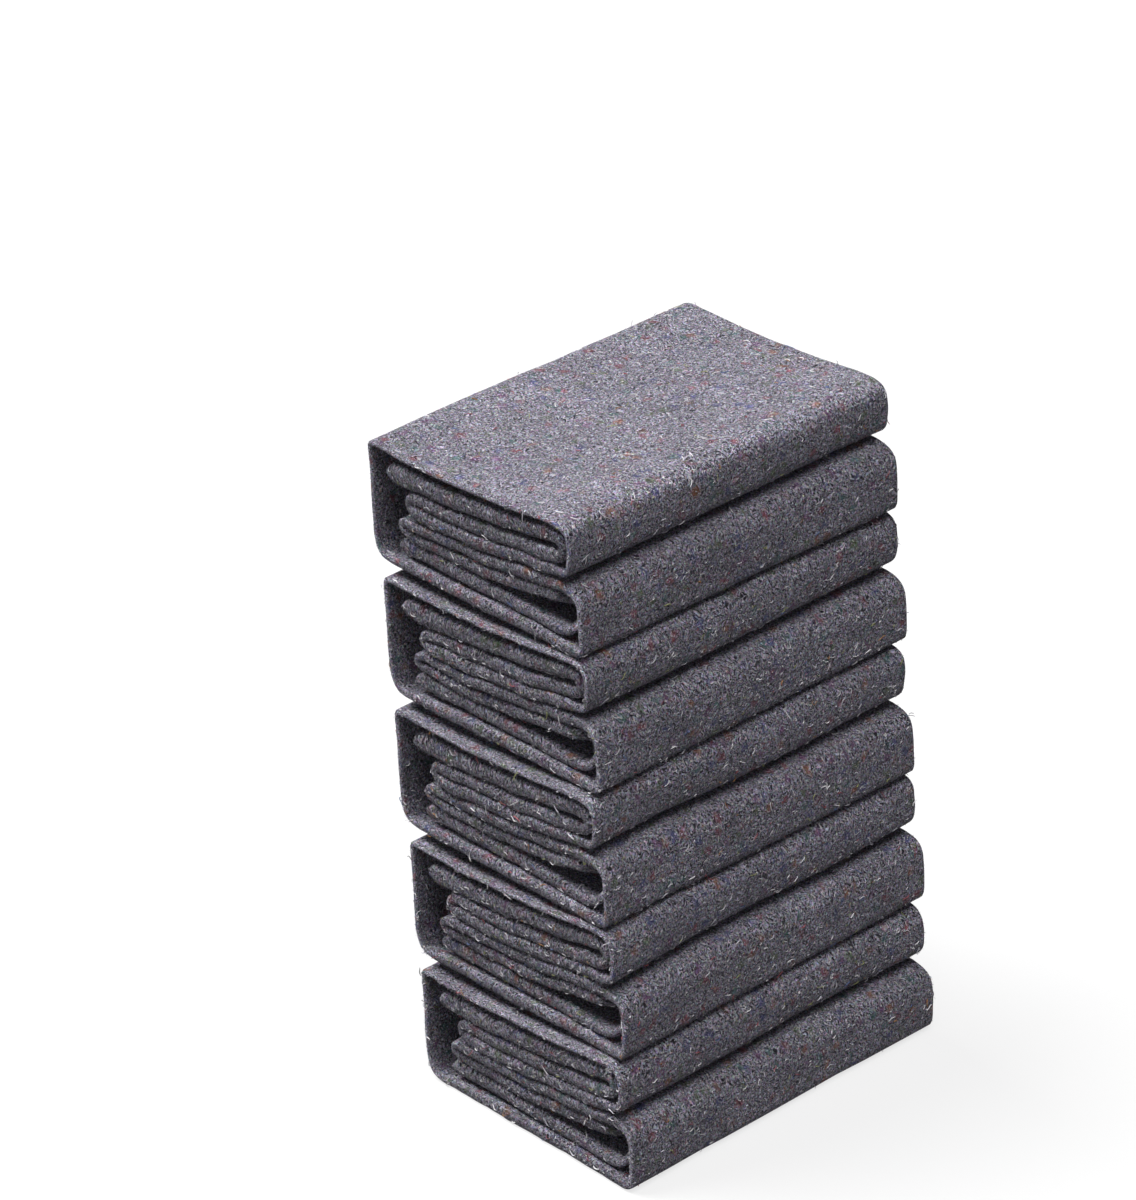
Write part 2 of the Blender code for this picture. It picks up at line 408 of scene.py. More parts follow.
# %% [markdown]
# ## Folding one blanket
#
# The cut is a plain grid, with a row for each place along the strip and a column for each place
# across. Folding moves each of its points to where that bit of cloth lies. The grid's own map
# keeps the flat sizes in metres, so the felt's fibres are drawn on the cloth before it is
# folded and run over every edge. Solidify then gives the sheet its thickness, less where the
# wrap is pressed thin. A cloth simulation would have to be pushed through eight folds to end
# in this pile, so folding by rule gives the same cloth with far less to go wrong.


# %% The shape of the folded cloth
def between(at, values, places):
    """Values that ease from one station to the next."""
    i = np.clip(np.searchsorted(at, places, side="right") - 1, 0, len(at) - 2)
    s = np.clip((places - at[i]) / (at[i + 1] - at[i]), 0, 1)
    return mix(values[i], values[i + 1], s * s * (3 - 2 * s))


def settle(x, y, z, blanket):
    """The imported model's waves, sag and droop, and the cloth's own, at points of a blanket."""
    _, sagging, phase = BLANKET_ROWS[blanket]
    share, high = y / DEPTH, z / PITCH
    inside = np.sin(math.pi * np.clip(high, 0, 1))
    low_fade = np.clip(high * TOP_FADE, 0, 1)
    dent = trough_depth("top", x, y, blanket) * np.exp((z - PITCH) / FACE_REACH) * low_fade
    press = trough_depth("right", z, y, blanket) * np.exp((x - FOLDED_WIDTH) / FACE_REACH)
    push = trough_depth("left", z, y, blanket) * np.exp(-x / FACE_REACH)
    near_front = BAND_BEHIND + (1 - BAND_BEHIND) * np.exp(-y / BAND_REACH)
    soft = band_waves(x, z, phase) * inside * near_front
    x = x + WAVE_X * (x / FOLDED_WIDTH) ** 2 * inside * np.sin(phase + WAVE_X_TURNS * share)
    z = z + WAVE_Z * inside * np.sin(phase * 2 + WAVE_Z_TURNS * share)
    fade = np.clip((x - SAG_FROM) / (SAG_TO - SAG_FROM), 0, 1)
    fade = 1 - fade * fade * (3 - 2 * fade)
    at, droops, sag_shares = np.array(STATIONS).T
    sag = sagging * BASE_SAG * between(at, sag_shares, y)
    sag = sag * fade * np.clip(1 - z / SAG_REACH, 0, 1)
    droop = between(at, droops, y) * np.maximum(high - DROOP_FROM, 0) / (1 - DROOP_FROM)
    return x - press + push, z + soft - dent - sag - droop


def folded(blanket):
    """Where each place along and across the cloth lies, in metres, and the sheet's thickness."""
    x, z, thick, back = strip.T
    phase = BLANKET_ROWS[blanket][2]
    loose = np.interp(thick, PRESSED_TO_LOOSE, WAVES_SHOWN)
    wander = (edge_waves(strip_at, phase + EDGE_START) + EDGE_BACK) * loose
    start, end = turn_at[PINCH_TURN]
    pinch = PINCH * np.exp(-(((strip_at - start) / (end - start) - PINCH_AT) / PINCH_WIDTH) ** 2)
    front = back * SET_BACK + wander + pinch * (PINCH_SHARE + PINCH_SPREAD * math.sin(phase))
    ys, heights = cross_shape(front, DEPTH - back - BACK_EDGE_SHARE * wander[::-1], thick)
    points_x = x[:, None] + strip_out[:, :1] * heights
    points_z = z[:, None] + strip_out[:, 1:] * heights
    points_x, points_z = settle(points_x, ys, points_z, blanket)
    sheet = thick / SHEETS_IN_BAND
    if blanket == 0:  # the felt that meets the floor is pressed flat on it
        points_z = np.maximum(points_z, sheet[:, None] / 2)
    places = np.stack([points_x, ys - DEPTH / 2, points_z], 2)
    turn = Matrix.Rotation(math.radians(BLANKET_ROWS[blanket][0]), 3, "Z")
    places = places @ np.array(turn).T
    places += np.array(LOWEST_PLACE) + blanket * np.array(LEAN)
    return places * MM, sheet * MM


print("the lowest blanket's lowest point:", round(float(folded(0)[0][..., 2].min()) * 1000, 2), "mm")


# %% The cut, folded and given its thickness
HIGHLIT_TO_SHADED = (4.8, 8.0)  # thickness of a strip with a painted highlight on its crowns and of one with painted shade
CROWN_LIGHT_AND_SHADE = (1.0, -0.35)  # painted highlight on a thin strip's crowns, and painted shade on a thick one's
BACK_CROWN = 0.5  # the same at the back, over the front
CUTS_APART = (3.1, 1.7)  # metres on the flat cloth's map, so that no two blankets look alike


def deselect_all():
    for piece in bpy.context.selected_objects:
        piece.select_set(False)


def painted_fold_light_rows():
    """1 on the crown of the wrap's front folds, where a highlight is painted, and under 0 on the
    crowns of the layers inside, where shade is painted."""
    crown = np.zeros((len(strip), len(across)))
    for number, (run, share) in enumerate(across):
        if run == "front_fold":
            crown[:, number] = math.sin(math.pi * share) ** 2
        elif run == "back_fold":
            crown[:, number] = BACK_CROWN * math.sin(math.pi * share)
    return crown * np.interp(strip[:, 2], HIGHLIT_TO_SHADED, CROWN_LIGHT_AND_SHADE)[:, None]


def folded_blanket(blanket):
    """One blanket: a flat grid, moved to its folds and thickened."""
    columns, rows = len(across) - 1, len(strip) - 1
    deselect_all()
    bpy.ops.mesh.primitive_grid_add(x_subdivisions=columns, y_subdivisions=rows, size=1.0)
    cloth = bpy.context.object
    cloth.name = cloth.data.name = f"felt_blanket_{blanket + 1}"
    mesh = cloth.data
    flat = np.empty(len(mesh.vertices) * 3)
    mesh.vertices.foreach_get("co", flat)
    flat = flat.reshape(-1, 3)
    column = np.rint((flat[:, 0] + 0.5) * columns).astype(int)
    row = np.rint((flat[:, 1] + 0.5) * rows).astype(int)
    places, sheet = folded(blanket)
    mesh.vertices.foreach_set("co", places[row, column].ravel())

    corner = np.empty(len(mesh.loops), int)
    mesh.loops.foreach_get("vertex_index", corner)
    u = across_at[column] / across_at[-1] * CUT_WIDTH * MM
    v = strip_at[row] / strip_at[-1] * CUT_LENGTH * MM
    mesh.uv_layers[0].name = "cut"
    apart = np.stack([u + CUTS_APART[0] * blanket, v + CUTS_APART[1] * blanket], 1)
    mesh.uv_layers[0].uv.foreach_set("vector", apart[corner].ravel())

    # painted highlight and painted shade on the fold crowns, which also draw loose fibres there
    edge = mesh.attributes.new("fold_edge", "FLOAT", "POINT")
    edge.data.foreach_set("value", painted_fold_light_rows()[row, column])
    weights = cloth.vertex_groups.new(name="thickness")
    for number in range(rows + 1):
        found = np.nonzero(row == number)[0].tolist()
        weights.add(found, float(sheet[number] / sheet.max()), "REPLACE")
    solid = cloth.modifiers.new("felt", "SOLIDIFY")
    solid.thickness, solid.offset = float(sheet.max()), 0.0
    solid.vertex_group = "thickness"
    bpy.ops.object.modifier_apply(modifier=solid.name)
    bpy.ops.object.shade_smooth()
    return cloth


blankets = [folded_blanket(blanket) for blanket in range(len(BLANKET_ROWS))]
for number, cloth in enumerate(blankets):
    low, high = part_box(f"blanket_{number + 1}")
    corners = np.array([cloth.matrix_world @ Vector(c) for c in cloth.bound_box])
    proud = [round(float(v) * 1000, 1) for v in
             (*(np.array(low) - corners.min(0)), *(corners.max(0) - np.array(high)))]
    print(cloth.name, len(cloth.data.polygons), "faces, proud of its solid by", proud, "mm")

# %% [markdown]
# ## What can be seen
#
# Loose fibres are worth making only where someone can see them. A ray is sent straight out from
# the middle of each face, with a few more leaning away from it. Where two or more get clear
# of all the felt and the floor, the face counts as open.

# %% Find the open faces
REACH = 0.06  # how far a ray has to get, in metres
RAY_START = 0.0006  # how far off its face it starts
LEANS = ((0, 0), (0.7, 0), (-0.7, 0), (0, 0.7), (0, -0.7))  # how far it leans, both ways
OPEN_FROM = 2  # this many clear rays make a face open
NO_AREA = 1e-12  # a face as small as this has no outward way
# a face's first corner, the two legs from it, its middle, its outward way and area, and how
# much it lies on the crown of a fold
Faces = namedtuple("Faces", "corner across along middle normal area edge")


def faces_of(piece):
    """A piece's faces, all of them quads, as arrays."""
    mesh = piece.data
    co = np.empty(len(mesh.vertices) * 3)
    mesh.vertices.foreach_get("co", co)
    corners = np.empty(len(mesh.loops), int)
    mesh.loops.foreach_get("vertex_index", corners)
    quads = corners.reshape(-1, 4)
    one, two, three, four = (co.reshape(-1, 3)[quads[:, k]] for k in range(4))
    normal = np.cross(three - one, four - two)
    area = np.linalg.norm(normal, axis=1) / 2
    normal /= np.maximum(area[:, None] * 2, NO_AREA)
    edge = np.empty(len(mesh.vertices))
    mesh.attributes["fold_edge"].data.foreach_get("value", edge)
    middle = (one + two + three + four) / 4
    return Faces(one, two - one, four - one, middle, normal, area, edge[quads].mean(1))


def clear_rays(middle, normal, trees):
    """How many of the five rays from a face get clear."""
    side = normal.orthogonal().normalized()
    other = normal.cross(side)
    start = middle + normal * RAY_START
    clear = 0
    for lean_side, lean_other in LEANS:
        way = (normal + side * lean_side + other * lean_other).normalized()
        if way.z < 0 and start.z + way.z * REACH < 0:
            continue
        if all(tree.ray_cast(start, way, REACH)[0] is None for tree in trees):
            clear += 1
    return clear


trees = [BVHTree.FromPolygons([v.co for v in cloth.data.vertices],
                              [tuple(p.vertices) for p in cloth.data.polygons])
         for cloth in blankets]
cloth_faces, clear_counts = [], []
for number, cloth in enumerate(blankets):
    faces = faces_of(cloth)
    near = trees[max(0, number - 1):number + 2]
    counts = np.array([clear_rays(Vector(middle), Vector(normal), near)
                       for middle, normal in zip(faces.middle, faces.normal)])
    cloth_faces.append(faces)
    clear_counts.append(counts)
    print(cloth.name, f"shows {faces.area[counts >= OPEN_FROM].sum():.3f} square metres")

# %% [markdown]
# ## Loose fibres
#
# Two kinds of fibre stand off recycled felt. Lint is long, pale and curled, and lies on the
# face in little squiggles. Nap is short and fine, and stands up all over, which gives every
# outline a soft edge. Each lint fibre is a thin tube with three sides that ends in a point,
# and each nap fibre a thin spike. Made one by one they would be thousands of objects, so all of
# a blanket's fibres are written as one mesh.

# %% Helpers for the fibres
FIBRE_SEED = 20
MAKER = np.random.default_rng(FIBRE_SEED)
MOST_FIBRES = 3  # the share of a wide open face, where one that is only just open has 1


def drawn(limits, count):
    """Random values between two limits."""
    return MAKER.uniform(*limits, (count, 1))


def picked(number, count, edge_share):
    """Random places on a blanket's open faces: place, outward way, and one way along it."""
    faces = cloth_faces[number]
    share = np.clip(clear_counts[number] - (OPEN_FROM - 1), 0, MOST_FIBRES)
    weight = faces.area * share * (1 + edge_share * abs(faces.edge))
    face = MAKER.choice(len(weight), count, p=weight / weight.sum())
    a, b = MAKER.random((2, count, 1))
    place = faces.corner[face] + faces.across[face] * a + faces.along[face] * b
    out = faces.normal[face]
    side = np.cross(out, MAKER.normal(size=(count, 3)))
    side /= np.linalg.norm(side, axis=1)[:, None]
    return place, out, side


def fibre_object(name, places, faces, colours):
    """One mesh of many fibres, from each fibre's points and colour, and the triangles of one.
    None reaches below the floor."""
    count, size = places.shape[:2]
    places = places.reshape(-1, 3)
    places[:, 2] = np.maximum(places[:, 2], 0.0)
    faces = np.array(faces) + size * np.arange(count)[:, None, None]
    mesh = bpy.data.meshes.new(name)
    mesh.from_pydata(places.tolist(), [], faces.reshape(-1, 3).tolist())
    tints = np.concatenate([np.repeat(colours, size, axis=0), np.ones((count * size, 1))], 1)
    tint = mesh.color_attributes.new("tint", "FLOAT_COLOR", "POINT")
    tint.data.foreach_set("color", tints.ravel())
    piece = bpy.data.objects.new(name, mesh)
    bpy.context.collection.objects.link(piece)
    return piece


print("fibres are drawn from seed", FIBRE_SEED)

# %% Lint
LINT_PALE, LINT_FAINT = 520, 1580  # how many fibres of each kind a blanket has
PALE_LENGTH, FAINT_LENGTH = (4.0, 10.0), (1.6, 5.0)
PALE_RADIUS, FAINT_RADIUS = (0.24, 0.42), (0.15, 0.26)
LINT_POINTS = 6  # places along a fibre
LINT_CURL = 1.8  # how far a fibre turns from end to end, in radians
LINT_WIGGLE, LINT_BEATS = 0.9, 5  # how far it wavers on the way, and how often
BEAT_STARTS = (0, 6.28)  # where its wavering starts, in radians
LINT_FOOT, LINT_LIFT = 0.05, (0.1, 0.7)  # how far its ends and its middle stand off the felt
LINT_ON_FOLDS = 1.5  # how much more of it lies on the crowns of the folds
LINT_COLOURS = np.array([(0.86, 0.84, 0.86), (0.60, 0.59, 0.64), (0.40, 0.12, 0.14),
                         (0.13, 0.18, 0.36), (0.38, 0.40, 0.18), (0.46, 0.24, 0.10),
                         (0.03, 0.03, 0.035)])
LINT_CHANCES = np.array([0.40, 0.28, 0.07, 0.06, 0.06, 0.03, 0.10])
LINT_TONES = (0.7, 1.15)
TUBE_ANGLES = (math.pi / 2, math.pi * 7 / 6, math.pi * 11 / 6)


def tube_points(path, radius, out):
    """The points of thin tubes: one at each end and three round each place between."""
    rings = [path[0][:, None]]
    for before, here, after in zip(path, path[1:], path[2:]):
        flat = np.cross(out, after - before)
        flat /= np.linalg.norm(flat, axis=1)[:, None]
        rings.append(np.stack([here + radius * (flat * math.cos(angle) + out * math.sin(angle))
                               for angle in TUBE_ANGLES], 1))
    rings.append(path[-1][:, None])
    return np.concatenate(rings, axis=1)


def tube_faces(places):
    """The triangles of one such tube, with this many places along it."""
    last = 3 * (places - 2) + 1
    faces = [(0, 1 + (k + 1) % 3, 1 + k) for k in range(3)]
    faces += [(last, last - 3 + k, last - 3 + (k + 1) % 3) for k in range(3)]
    for ring in range(places - 3):
        for k in range(3):
            a, b = 1 + 3 * ring + k, 1 + 3 * ring + (k + 1) % 3
            faces += [(a, b, b + 3), (a, b + 3, a + 3)]
    return faces


def lint(number):
    """One blanket's lint: paths that curl along the face, made into tubes."""
    count = LINT_PALE + LINT_FAINT
    place, out, side = picked(number, count, LINT_ON_FOLDS)
    strong = (np.arange(count) < LINT_PALE)[:, None]
    length = np.where(strong, drawn(PALE_LENGTH, count), drawn(FAINT_LENGTH, count)) * MM
    radius = np.where(strong, drawn(PALE_RADIUS, count), drawn(FAINT_RADIUS, count)) * MM
    curl = MAKER.normal(0, LINT_CURL, (count, 1))
    wiggle, beat = MAKER.normal(0, LINT_WIGGLE, (count, 1)), drawn(BEAT_STARTS, count)
    other = np.cross(out, side)
    path = [place + out * LINT_FOOT * MM]
    for step in range(1, LINT_POINTS):
        share = step / (LINT_POINTS - 1)
        heading = curl * share + wiggle * np.sin(beat + LINT_BEATS * share)
        leg = side * np.cos(heading) + other * np.sin(heading)
        path.append(path[-1] + leg * length / (LINT_POINTS - 1))
    lift = drawn(LINT_LIFT, count) * MM
    for step in range(LINT_POINTS):
        path[step] = path[step] + out * lift * math.sin(math.pi * step / (LINT_POINTS - 1))
    colours = LINT_COLOURS[MAKER.choice(len(LINT_COLOURS), count, p=LINT_CHANCES)]
    colours = colours * drawn(LINT_TONES, count)
    return fibre_object(f"lint_{number + 1}", tube_points(path, radius, out),
                        tube_faces(LINT_POINTS), colours)


lints = [lint(number) for number in range(len(blankets))]
print("lint:", sum(len(piece.data.polygons) for piece in lints), "triangles")

# %% Nap
NAP_COUNT = 10000
NAP_LENGTH, NAP_RADIUS = (0.8, 2.3), (0.08, 0.14)
NAP_RISE, NAP_SLANT = (0.25, 1.0), 0.8  # how far a spike goes outwards and sideways, over its length
NAP_FOOT = 0.1  # how deep its foot is
NAP_ON_FOLDS = 9.0  # how much more of it stands on the crowns of the folds
NAP_COLOURS = np.array([(0.40, 0.39, 0.43), (0.15, 0.145, 0.17), (0.70, 0.68, 0.72)])
NAP_CHANCES = (0.45, 0.35, 0.2)
SPIKE_ANGLES = (0, math.pi * 2 / 3, math.pi * 4 / 3)
SPIKE_FACES = ((0, 2, 1), (0, 1, 3), (1, 2, 3), (2, 0, 3))


def nap(number):
    """One blanket's nap: spikes with a foot of three points and a tip."""
    place, out, side = picked(number, NAP_COUNT, NAP_ON_FOLDS)
    length = drawn(NAP_LENGTH, NAP_COUNT) * MM
    radius = drawn(NAP_RADIUS, NAP_COUNT) * MM
    tip = place + (out * drawn(NAP_RISE, NAP_COUNT) + side * NAP_SLANT) * length
    other = np.cross(out, side)
    foot = [place - out * NAP_FOOT * MM
            + radius * (side * math.cos(angle) + other * math.sin(angle))
            for angle in SPIKE_ANGLES]
    colours = NAP_COLOURS[MAKER.choice(len(NAP_COLOURS), NAP_COUNT, p=NAP_CHANCES)]
    return fibre_object(f"nap_{number + 1}", np.stack(foot + [tip], 1), SPIKE_FACES, colours)


naps = [nap(number) for number in range(len(blankets))]
print("nap:", sum(len(piece.data.polygons) for piece in naps), "triangles")

# %% [markdown]
# ## Writing shader maths
#
# A felt's colour is a sum of many small patterns, and dozens of nodes wired by hand are hard to
# read. The class below wraps one output of a node. Adding or multiplying two of them adds a
# Math node, so the pattern can be written as plain sums. Colours and vectors are kept apart
# from that and go through Mix and Vector Math.


# %% A wire of a material
class Wire:
    """One output of a node. Sums and products of wires add Math nodes to the material."""

    tree = None

    def __init__(self, socket):
        self.socket = socket

    @classmethod
    def node(cls, kind, settings=None, values=None, output=0):
        """Adds any node: its settings first, then its sockets' values or links."""
        made = cls.tree.nodes.new(kind)
        for name, value in (settings or {}).items():
            if name == "stops":
                ramp = made.color_ramp
                while len(ramp.elements) < len(value):
                    ramp.elements.new(1.0)
                for element, (place, colour) in zip(ramp.elements, value):
                    element.position, element.color = place, (*colour, 1.0)
            elif name == "ramp_steps":
                made.color_ramp.interpolation = value
            else:
                setattr(made, name, value)
        for name, value in (values or {}).items():
            if isinstance(value, Wire):
                cls.tree.links.new(value.socket, made.inputs[name])
            else:
                made.inputs[name].default_value = value
        return cls(made.outputs[output])

    @classmethod
    def maths(cls, operation, *values):
        return cls.node("ShaderNodeMath", {"operation": operation}, dict(enumerate(values)))

    def __add__(self, other):
        return self.maths("ADD", self, other)

    def __radd__(self, other):
        return self.maths("ADD", other, self)

    def __sub__(self, other):
        return self.maths("SUBTRACT", self, other)

    def __rsub__(self, other):
        return self.maths("SUBTRACT", other, self)

    def __mul__(self, other):
        return self.maths("MULTIPLY", self, other)

    def __rmul__(self, other):
        return self.maths("MULTIPLY", other, self)


print("shader maths is ready")


# %% Patterns on the flat cloth
def rising(value, low, high):
    """0 below low, 1 above high, and a soft step between."""
    return Wire.node("ShaderNodeMapRange", {"interpolation_type": "SMOOTHSTEP"},
                     {"Value": value, "From Min": low, "From Max": high})


def larger(a, b):
    return Wire.maths("MAXIMUM", a, b)


def moved(vector, operation, amount):
    return Wire.node("ShaderNodeVectorMath", {"operation": operation}, {0: vector, 1: amount})


def scaled(vector, size):
    return Wire.node("ShaderNodeVectorMath", {"operation": "SCALE"}, {0: vector, "Scale": size})


def noise(vector, size, detail=0.0, output=0, dimensions="2D"):
    """Soft noise whose lumps are about size across."""
    return Wire.node("ShaderNodeTexNoise", {"noise_dimensions": dimensions},
                     {"Vector": vector, "Scale": 1 / size, "Detail": detail}, output)


STRAND_PLACES = (37.0, 11.0)  # mm for each radian, so that no two angles share a pattern


def fibres(vector, turn, length, width):
    """Noise drawn out into strands that lie at one angle."""
    turned = Wire.node("ShaderNodeMapping", {"vector_type": "POINT"},
                       {"Vector": vector, "Rotation": (0.0, 0.0, turn),
                        "Location": (STRAND_PLACES[0] * turn, STRAND_PLACES[1] * turn, 0.0)})
    narrow = moved(turned, "MULTIPLY", (1 / length, 1 / width, 0.0))
    return noise(narrow, 1.0, 1.0)


def mixed(factor, a, b):
    """Two colours mixed."""
    return Wire.node("ShaderNodeMix", {"data_type": "RGBA"}, {0: factor, 6: a, 7: b}, 2)


print("patterns are ready")

# %% [markdown]
# ## The felt
#
# Needled felt is a mat of short fibres that lie every way. Most are dark grey, some are nearly
# black or pale, and a few come from cloth that was red, blue, green or orange. A picture of felt
# would repeat and blur, so the colour is built from strands at five angles, some paler and some
# darker than the rest. Small clouds of soft colour lie among them, with white curls and specks,
# and slow changes of tone over several centimetres. The same strands feed the bump, and a little
# sheen stands for fibre ends that catch the light.

# %% The felt's colours and patterns
FELT_DARK, FELT_MID, FELT_PALE = (0.007, 0.006, 0.010), (0.118, 0.104, 0.142), (0.72, 0.69, 0.80)
FELT_WHITE = (0.84, 0.82, 0.86)
# the clouds' colours, each with where it starts on a scale from 0 to 1
FLECKS = ((0.0, (0.36, 0.07, 0.09)), (0.22, (0.06, 0.08, 0.28)), (0.4, (0.40, 0.15, 0.05)),
          (0.5, (0.13, 0.20, 0.06)), (0.68, (0.23, 0.07, 0.21)), (0.84, (0.05, 0.19, 0.17)))
STRAND_TURNS = (0.1, 0.75, 1.4, 2.05, 2.7)  # radians
STRAND_LENGTH, STRAND_WIDTH = 3.2, 0.72
BEND_SIZE, BEND = 9.0, 9.0  # how far apart the strands' bends are, and how strong

# how large the lumps of each pattern are
GRAIN_SIZE, LUMP_SIZE, HUE_SIZE, TONE_SIZE, CLOUD_SIZE = 1.2, 3.8, 2.2, 46.0, 12.0
CURL_SIZE, CURL_PATCH_SIZE, SPECK_SIZE = 3.4, 6.0, 1.9
CURL_THINNESS = 11

# where each pattern starts to show and where it is full, on a scale from 0 to 1
PALE_STEP, DARK_STEP, GRAIN_STEP = (0.61, 0.67), (0.57, 0.63), (0.34, 0.66)
CLOUD_STEP, CLOUD_CHANCE = (0.50, 0.95), (0.30, 0.85)
CURL_STEP, CURL_PATCH_STEP, SPECK_STEP = (0.35, 0.85), (0.58, 0.66), (0.72, 0.77)

# how strongly each shows in the colour
DARK_SHOWS, PALE_SHOWS, PALE_LEAST = 0.95, 0.66, 0.5
CLOUD_SHOWS, CLOUD_ON_PALE, CURL_SHOWS, SPECK_SHOWS = 0.38, 0.42, 0.7, 0.8
HUE_SPREAD, HUE_LEAST = 0.9, (0.55, 0.54, 0.61)
TONE_LEAST, TONE_SPREAD = 0.66, 0.60
# painted highlight and painted shade on the fold crowns, and how much the grain adds to them
FOLD_LIGHT_SHOWS, FOLD_LIGHT_ON_GRAIN = 0.3, 0.9

# how much each rises in the bump, and the bump's own height in metres
STRAND_RISE, GRAIN_RISE, LUMP_RISE, BUMP_HEIGHT = 0.7, 0.5, 1.4, 0.0014
FELT_FINISH = {"Roughness": 0.96, "Specular IOR Level": 0.18, "Sheen Weight": 0.22,
               "Sheen Roughness": 0.55, "Sheen Tint": (0.82, 0.80, 0.86, 1.0)}
print(f"{len(STRAND_TURNS)} angles of strands and {len(FLECKS)} colours of cloud")


# %% The felt material
def new_material(name, finish):
    """A material with a plain finish, and its shader. New wires go into it."""
    material = bpy.data.materials.new(name)
    material.use_nodes = True
    Wire.tree = material.node_tree
    shader = material.node_tree.nodes["Principled BSDF"]
    for socket, value in finish.items():
        shader.inputs[socket].default_value = value
    return material, shader


def plug(shader, socket, wire):
    Wire.tree.links.new(wire.socket, shader.inputs[socket])


def strands(cloth):
    """The pale and the dark strands, at every angle."""
    pale = dark = None
    for turn in STRAND_TURNS:
        strand = fibres(cloth, turn, STRAND_LENGTH, STRAND_WIDTH)
        light, deep = rising(strand, *PALE_STEP), rising(1 - strand, *DARK_STEP)
        pale = light if pale is None else larger(pale, light)
        dark = deep if dark is None else larger(dark, deep)
    return pale, dark


def clouds(cloth):
    """How much of a cloud lies at a place, and its colour. Some cells have none."""
    near, cell_colour = (Wire.node("ShaderNodeTexVoronoi", {"voronoi_dimensions": "2D"},
                                   {"Vector": cloth, "Scale": 1 / CLOUD_SIZE}, output)
                         for output in (0, 1))
    pick, present = (Wire.node("ShaderNodeSeparateColor", None, {0: cell_colour}, output)
                     for output in (0, 1))
    fleck = Wire.node("ShaderNodeValToRGB", {"stops": FLECKS, "ramp_steps": "CONSTANT"},
                      {0: pick})
    return rising(1 - near, *CLOUD_STEP) * rising(present, *CLOUD_CHANCE), fleck


def felt_material():
    material, shader = new_material("grey_felt", FELT_FINISH)
    cut = scaled(Wire.node("ShaderNodeUVMap", {"uv_map": "cut"}), 1 / MM)
    bending = moved(noise(cut, BEND_SIZE, 1.0, 1), "SUBTRACT", (0.5, 0.5, 0.5))
    cloth = moved(cut, "ADD", scaled(bending, BEND))
    pale, dark = strands(cloth)
    grain = noise(cut, GRAIN_SIZE)
    tone = mixed(rising(grain, *GRAIN_STEP), (*FELT_DARK, 1), (*FELT_MID, 1))
    tone = mixed(dark * DARK_SHOWS, tone, (*FELT_DARK, 1))
    tone = mixed(pale * PALE_SHOWS * (PALE_LEAST + grain), tone, (*FELT_PALE, 1))
    cloud, fleck = clouds(cloth)
    tone = mixed(cloud * (CLOUD_SHOWS + pale * CLOUD_ON_PALE), tone, fleck)
    curl = Wire.maths("ABSOLUTE", noise(cloth, CURL_SIZE) - 0.5)
    curl = (rising(1 - curl * CURL_THINNESS, *CURL_STEP)
            * rising(noise(cut, CURL_PATCH_SIZE), *CURL_PATCH_STEP))
    speck = rising(noise(cut, SPECK_SIZE), *SPECK_STEP)
    tone = mixed(larger(curl * CURL_SHOWS, speck * SPECK_SHOWS), tone, (*FELT_WHITE, 1))
    hues = moved(scaled(noise(cut, HUE_SIZE, 1.0, 1), HUE_SPREAD), "ADD", HUE_LEAST)
    tone = moved(tone, "MULTIPLY", hues)
    slow = noise(cut, TONE_SIZE, 2.0)
    # painted highlight on the crowns of the wrap's front folds, painted shade on the inner layers'
    # crowns
    edge = Wire.node("ShaderNodeAttribute", {"attribute_name": "fold_edge"}, None, 2)
    tone = scaled(tone, TONE_LEAST + slow * TONE_SPREAD
                  + edge * (FOLD_LIGHT_SHOWS + grain * FOLD_LIGHT_ON_GRAIN))
    plug(shader, "Base Color", tone)
    height = (pale * STRAND_RISE - dark * STRAND_RISE + curl * STRAND_RISE + grain * GRAIN_RISE
              + noise(cut, LUMP_SIZE, 1.0) * LUMP_RISE)
    bump = Wire.node("ShaderNodeBump", None,
                     {"Height": height, "Strength": 1.0, "Distance": BUMP_HEIGHT})
    plug(shader, "Normal", bump)
    return material


grey_felt = felt_material()
print("felt has", len(grey_felt.node_tree.nodes), "nodes")

# %% The loose fibres' material
FIBRE_FINISH = {"Roughness": 0.8, "Specular IOR Level": 0.25}
FIBRE_PATCH = 0.004  # how far apart paler and darker stretches of a fibre are, in metres
FIBRE_LEAST, FIBRE_SPREAD = 0.75, 0.5


def fibre_material():
    material, shader = new_material("loose_fibre", FIBRE_FINISH)
    tint = Wire.node("ShaderNodeVertexColor", {"layer_name": "tint"})
    place = Wire.node("ShaderNodeTexCoord", None, None, 3)
    shade = FIBRE_LEAST + noise(place, FIBRE_PATCH, dimensions="3D") * FIBRE_SPREAD
    plug(shader, "Base Color", scaled(tint, shade))
    return material


loose_fibre = fibre_material()
print("loose fibre has", len(loose_fibre.node_tree.nodes), "nodes")

# %% [markdown]
# ## Join the pieces to the imported model
#
# The stack has no joints, so everything moves with its one body, root. Each folded cloth stands
# for its own solid, which is hidden.

# %% Ride and replace
for number, (cloth, loose, short) in enumerate(zip(blankets, lints, naps)):
    cloth.data.materials.append(grey_felt)
    for piece in (loose, short):
        piece.data.materials.append(loose_fibre)
    for piece in (cloth, loose, short):
        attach(piece, "root")
    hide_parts(f"blanket_{number + 1}")
for number, cloth in enumerate(blankets):
    below = [blankets[number - 1].name] if number else []
print("pieces:", len(blankets) + len(lints) + len(naps))

# %% [markdown]
# ## Floor, light and camera
#
# The felt is dark and soft, so it needs light that falls mostly from above and from the left.
# That leaves the tops bright and the right sides in shade. Two suns with wide angles do this
# evenly, where lamps would leave bright pools: one from the left, and one from high on the
# right that draws the shade under each overhang. A large soft lamp reaches into the folds at
# the front, and a dim sky does the rest. The photograph's floor stays white in the shade too,
# so this one glows a little by itself. The felt gets no light from it, which keeps the right
# sides as dark as they are in the photograph.

